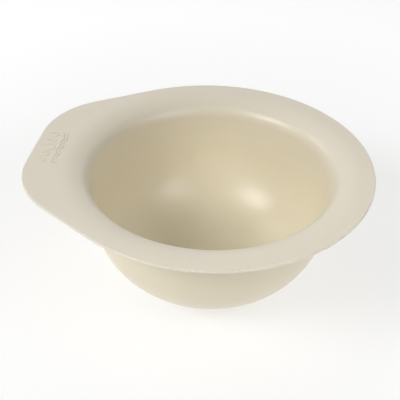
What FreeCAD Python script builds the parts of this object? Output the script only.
import FreeCAD, Part
import math
import os

from FreeCAD import Vector

os.makedirs("parts", exist_ok=True)

# A round bowl with a flat handle tab, moulded in one piece of plastic.
#
# Millimetres, +Z up. The origin is the centre of the foot, on the ground.
# The handle tab points along -X, and the bowl is the same on both sides of the XZ plane.
#
# The real object is one moulding, so there is one solid and one node.

# ---------------------------------------------------------------- driving dimensions

# Bowl
RIM_HEIGHT = 98.2            # ground to the flat top of the rim
MOUTH_RADIUS = 88.7          # inside of the wall, carried straight up to the rim's height
WALL = 2.5                   # the same thickness everywhere, as in any moulding
WALL_LEAN = 2.5              # how far the wall draws in between the mouth and the bottom curve
FLOOR_RADIUS = 24.2          # the flat middle of the floor

# Rim
RIM_WIDTH = 31.3             # from the mouth to the rim's edge
RIM_LAND = 8.0               # the flat band along the rim's edge
LIP_RADIUS = 11.5            # the tight turn from the rim into the bowl, on the top side
RIM_DIP_RADIUS = 46.0        # the slow curve between the flat band and the lip
EDGE_RADIUS = 1.2            # the rounding of the rim's two edges

# Handle tab
HANDLE_REACH = 15.0          # from the rim's circle to the end of the tab
HANDLE_END_WIDTH = 42.0      # the straight part of the end edge
HANDLE_CORNER_RADIUS = 63.0  # the large rounding on each side of the end edge

# Foot
FOOT_HEIGHT = 1.2            # how far the foot ring stands below the middle of the floor
FOOT_RADIUS = 36.0           # outside of the ring
FOOT_WIDTH = 4.5             # the flat band that the bowl rests on, with its roundings
FOOT_EDGE_RADIUS = 0.5       # the rounding of the ring's two edges

# Gate mark, where the plastic entered the mould
GATE_DISC_RADIUS = 5.0
GATE_DISC_HEIGHT = 0.4
GATE_NUB_RADIUS = 1.1
GATE_NUB_HEIGHT = 0.3

# Emblem on the tab: one large drop in a row of small ones, over two lines of water
EMBLEM_END_GAP = 3.5         # from the tab's end to the tip of the large drop
EMBLEM_RELIEF = 0.35         # how far its lines stand above the tab
EMBLEM_LINE = 0.8            # the width of its lines
DROP_RADIUS = 4.4
DROP_TIP = 8.2               # from the centre of the drop's round end to its tip
SMALL_DROP_RADIUS = 2.6
SMALL_DROP_TIP = 5.0
SMALL_DROP_SPACING = 9.0     # from one drop to the next, across the tab
SMALL_DROPS = 2              # on each side of the large one
WAVE_GAP = 2.4               # from the drops to the first line, and from one line to the next
WAVE_HEIGHT = 0.7            # from the middle of a wave line to its crest
WAVE_LENGTH = 10.0           # one crest and one trough
WAVE_CRESTS = 4
WAVE_LINES = 2

# ---------------------------------------------------------------- sizes that follow

FLOOR_TOP = FOOT_HEIGHT + WALL
FLOOR_UNDERSIDE = FOOT_HEIGHT
BOTTOM_CURVE_RADIUS = MOUTH_RADIUS - WALL_LEAN - FLOOR_RADIUS
RIM_RADIUS = MOUTH_RADIUS + RIM_WIDTH
RIM_FLAT_RADIUS = RIM_RADIUS - RIM_LAND
RIM_UNDERSIDE = RIM_HEIGHT - WALL
HANDLE_END = RIM_RADIUS + HANDLE_REACH

BURIED = WALL / 2            # how far a raised detail's solid starts inside the wall it stands on


# ---------------------------------------------------------------- drawing helpers

def on_circle(centre, radius, degrees):
    """The point at an angle on a circle in plan or in section, as a pair."""
    turn = math.radians(degrees)
    return (centre[0] + radius * math.cos(turn), centre[1] + radius * math.sin(turn))


def direction(start, end):
    """The angle of the line from one point to another, in degrees from 0 to 360."""
    return math.degrees(math.atan2(end[1] - start[1], end[0] - start[0])) % 360


def section_point(pair):
    """A point of the bowl's section: distance from the axis, height."""
    return Vector(pair[0], 0, pair[1])


def plan_point(pair):
    """A point of the rim's plan: X, Y."""
    return Vector(pair[0], pair[1], 0)


def arc(place, centre, radius, start, end):
    """An arc between two angles, drawn with section_point or plan_point."""
    angles = (start, (start + end) / 2, end)
    return Part.Arc(*(place(on_circle(centre, radius, angle)) for angle in angles)).toShape()


def line(place, start, end):
    return Part.LineSegment(place(start), place(end)).toShape()


def meeting_point(centre_a, radius_a, centre_b, radius_b):
    """The upper of the two points that lie radius_a from one centre and radius_b from the other."""
    across = centre_b[0] - centre_a[0]
    up = centre_b[1] - centre_a[1]
    gap = math.hypot(across, up)
    along = (radius_a ** 2 - radius_b ** 2 + gap ** 2) / (2 * gap)
    aside = math.sqrt(radius_a ** 2 - along ** 2)
    return (centre_a[0] + (along * across - aside * up) / gap,
            centre_a[1] + (along * up + aside * across) / gap)


# ---------------------------------------------------------------- the bowl's section

def section_centres():
    """The centres of the section's four tangent arcs, and the radius of the wall's arc.

    The wall's arc starts upright at the mouth and has to touch the bottom curve, which
    settles its radius. The lip touches the wall's arc and the rim's slow dip.
    """
    bottom = (FLOOR_RADIUS, FLOOR_TOP + BOTTOM_CURVE_RADIUS)
    drop = RIM_HEIGHT - bottom[1]
    wall_radius = BOTTOM_CURVE_RADIUS + (WALL_LEAN ** 2 + drop ** 2) / (2 * WALL_LEAN)
    wall = (MOUTH_RADIUS - wall_radius, RIM_HEIGHT)
    dip = (RIM_FLAT_RADIUS, RIM_HEIGHT - RIM_DIP_RADIUS)
    lip = meeting_point(wall, wall_radius + LIP_RADIUS, dip, RIM_DIP_RADIUS - LIP_RADIUS)
    return bottom, wall, lip, dip, wall_radius


def section_side(depth):
    """One side of the wall, from the axis out to the flat band of the rim.

    depth is 0 for the inside and WALL for the outside, so both sides run parallel.
    """
    bottom, wall, lip, dip, wall_radius = section_centres()
    floor = FLOOR_TOP - depth
    wall_start = direction(wall, bottom) - 360
    wall_end = direction(wall, lip) - 360
    lip_start = direction(lip, wall)
    lip_end = direction(dip, lip)
    return [
        line(section_point, (0, floor), (FLOOR_RADIUS, floor)),
        arc(section_point, bottom, BOTTOM_CURVE_RADIUS + depth, -90, wall_start),
        arc(section_point, wall, wall_radius + depth, wall_start, wall_end),
        arc(section_point, lip, LIP_RADIUS - depth, lip_start, lip_end),
        arc(section_point, dip, RIM_DIP_RADIUS - depth, lip_end, 90),
    ]


def make_shell():
    """The round bowl with its lip, out to where the rim turns flat."""
    edges = section_side(0) + section_side(WALL)
    edges.append(line(section_point, (0, FLOOR_UNDERSIDE), (0, FLOOR_TOP)))
    edges.append(line(section_point, (RIM_FLAT_RADIUS, RIM_UNDERSIDE), (RIM_FLAT_RADIUS, RIM_HEIGHT)))
    section = Part.Face(Part.Wire(Part.__sortEdges__(edges)))
    return section.revolve(Vector(0, 0, 0), Vector(0, 0, 1), 360)


# ---------------------------------------------------------------- rim and handle tab

def rim_outline():
    """The rim's circle and the tab's two corner arcs, joined by straight tangents."""
    corner_x = HANDLE_CORNER_RADIUS - HANDLE_END
    corner_y = HANDLE_END_WIDTH / 2
    corner = (corner_x, corner_y)
    mirrored = (corner_x, -corner_y)
    spread = math.acos((RIM_RADIUS - HANDLE_CORNER_RADIUS) / math.hypot(*corner))
    side = direction((0, 0), corner) - math.degrees(spread)
    edges = [
        arc(plan_point, (0, 0), RIM_RADIUS, -side, side),
        line(plan_point, on_circle((0, 0), RIM_RADIUS, side),
             on_circle(corner, HANDLE_CORNER_RADIUS, side)),
        arc(plan_point, corner, HANDLE_CORNER_RADIUS, side, 180),
        line(plan_point, (-HANDLE_END, corner_y), (-HANDLE_END, -corner_y)),
        arc(plan_point, mirrored, HANDLE_CORNER_RADIUS, 180, 360 - side),
        line(plan_point, on_circle(mirrored, HANDLE_CORNER_RADIUS, -side),
             on_circle((0, 0), RIM_RADIUS, -side)),
    ]
    return Part.Wire(Part.__sortEdges__(edges))


def level_edges(solid, height):
    """The edges of a solid that lie in one level plane."""
    flat = 1e-6
    return [edge for edge in solid.Edges
            if abs(edge.BoundBox.ZMin - height) < flat and abs(edge.BoundBox.ZMax - height) < flat]


def make_rim():
    """The flat band with the handle tab, its edges rounded above and below."""
    plate = Part.Face(rim_outline()).extrude(Vector(0, 0, WALL))
    rounded = plate.makeFillet(EDGE_RADIUS, level_edges(plate, 0) + level_edges(plate, WALL))
    rounded.translate(Vector(0, 0, RIM_UNDERSIDE))
    opening = Part.makeCylinder(RIM_FLAT_RADIUS, WALL, Vector(0, 0, RIM_UNDERSIDE))
    return rounded.cut(opening)


# ---------------------------------------------------------------- underside

def middle_of_wall(radius):
    """The height of the middle of the wall's thickness, on the floor or on the bottom curve."""
    sweep = BOTTOM_CURVE_RADIUS + WALL / 2
    beyond = max(0, radius - FLOOR_RADIUS)
    return FLOOR_TOP - WALL / 2 + sweep - math.sqrt(sweep ** 2 - beyond ** 2)


def make_foot():
    """The low ring that the bowl stands on. It starts inside the wall of the curved bottom."""
    height = middle_of_wall(FOOT_RADIUS - FOOT_WIDTH / 2)
    ring = Part.makeCylinder(FOOT_RADIUS, height)
    ring = ring.cut(Part.makeCylinder(FOOT_RADIUS - FOOT_WIDTH, height))
    return ring.makeFillet(FOOT_EDGE_RADIUS, level_edges(ring, 0))


def make_gate_mark():
    """The small disc and nub left in the middle of the underside."""
    disc = Part.makeCylinder(GATE_DISC_RADIUS, GATE_DISC_HEIGHT + BURIED)
    disc.translate(Vector(0, 0, FLOOR_UNDERSIDE - GATE_DISC_HEIGHT))
    nub = Part.makeCylinder(GATE_NUB_RADIUS, GATE_NUB_HEIGHT + BURIED)
    nub.translate(Vector(0, 0, FLOOR_UNDERSIDE - GATE_DISC_HEIGHT - GATE_NUB_HEIGHT))
    return disc.fuse(nub)


# ---------------------------------------------------------------- emblem

def drop_face(radius, tip):
    """A drop lying in plan, its round end at the origin and its tip towards -X."""
    shoulder = 180 - math.degrees(math.acos(radius / tip))
    edges = [
        arc(plan_point, (0, 0), radius, -shoulder, shoulder),
        line(plan_point, on_circle((0, 0), radius, shoulder), (-tip, 0)),
        line(plan_point, (-tip, 0), on_circle((0, 0), radius, -shoulder)),
    ]
    return Part.Face(Part.Wire(Part.__sortEdges__(edges)))


def make_drop(radius, tip, centre_y, raised):
    """The outline of a drop as a raised line."""
    inner_radius = radius - EMBLEM_LINE
    inner_tip = tip * inner_radius / radius
    outline = drop_face(radius, tip).cut(drop_face(inner_radius, inner_tip))
    drop = outline.extrude(Vector(0, 0, raised))
    drop.translate(Vector(EMBLEM_END_GAP + DROP_TIP - HANDLE_END, centre_y, 0))
    return drop


def make_wave(centre_x, raised):
    """A line of crests and troughs, as a chain of tangent arcs across the tab."""
    chord = WAVE_LENGTH / 2
    radius = (chord ** 2 / 4 + WAVE_HEIGHT ** 2) / (2 * WAVE_HEIGHT)
    half_turn = math.degrees(math.asin(chord / 2 / radius))
    bends = 2 * WAVE_CRESTS
    pieces = []
    for bend in range(bends):
        side = 1 if bend % 2 else -1
        middle = (bend + 0.5 - bends / 2) * chord
        centre = Vector(centre_x + side * (radius - WAVE_HEIGHT), middle, 0)
        start = (0 if side < 0 else 180) - half_turn
        outer = Part.makeCylinder(radius + EMBLEM_LINE / 2, raised, centre, Vector(0, 0, 1), 2 * half_turn)
        inner = Part.makeCylinder(radius - EMBLEM_LINE / 2, raised, centre)
        outer.rotate(centre, Vector(0, 0, 1), start)
        pieces.append(outer.cut(inner))
    return pieces[0].multiFuse(pieces[1:]).removeSplitter()


def make_emblem():
    """A row of drops over two lines of water, as low relief on the tab."""
    raised = EMBLEM_RELIEF + BURIED
    drops_foot = EMBLEM_END_GAP + DROP_TIP + DROP_RADIUS - HANDLE_END
    pieces = [make_drop(DROP_RADIUS, DROP_TIP, 0, raised)]
    for number in range(1, SMALL_DROPS + 1):
        for side in (-1, 1):
            centre_y = side * number * SMALL_DROP_SPACING
            pieces.append(make_drop(SMALL_DROP_RADIUS, SMALL_DROP_TIP, centre_y, raised))
    for number in range(WAVE_LINES):
        pieces.append(make_wave(drops_foot + (number + 1) * WAVE_GAP, raised))
    for piece in pieces:
        piece.translate(Vector(0, 0, RIM_HEIGHT - BURIED))
    return pieces


# ---------------------------------------------------------------- the whole moulding

def make_bowl():
    details = [make_rim(), make_foot(), make_gate_mark()] + make_emblem()
    return make_shell().multiFuse(details).removeSplitter()


def export(name, shape):
    """Writes one node as a STEP file, and says what it is made of."""
    solid = shape.Solids[0]
    box = shape.optimalBoundingBox()
    print(name, "solids", len(shape.Solids), "valid", solid.isValid(),
          "size", [round(side, 2) for side in (box.XLength, box.YLength, box.ZLength)],
          "volume", round(solid.Volume), "mm3")
    solid.exportStep("parts/" + name + ".step")


export("bowl", make_bowl())
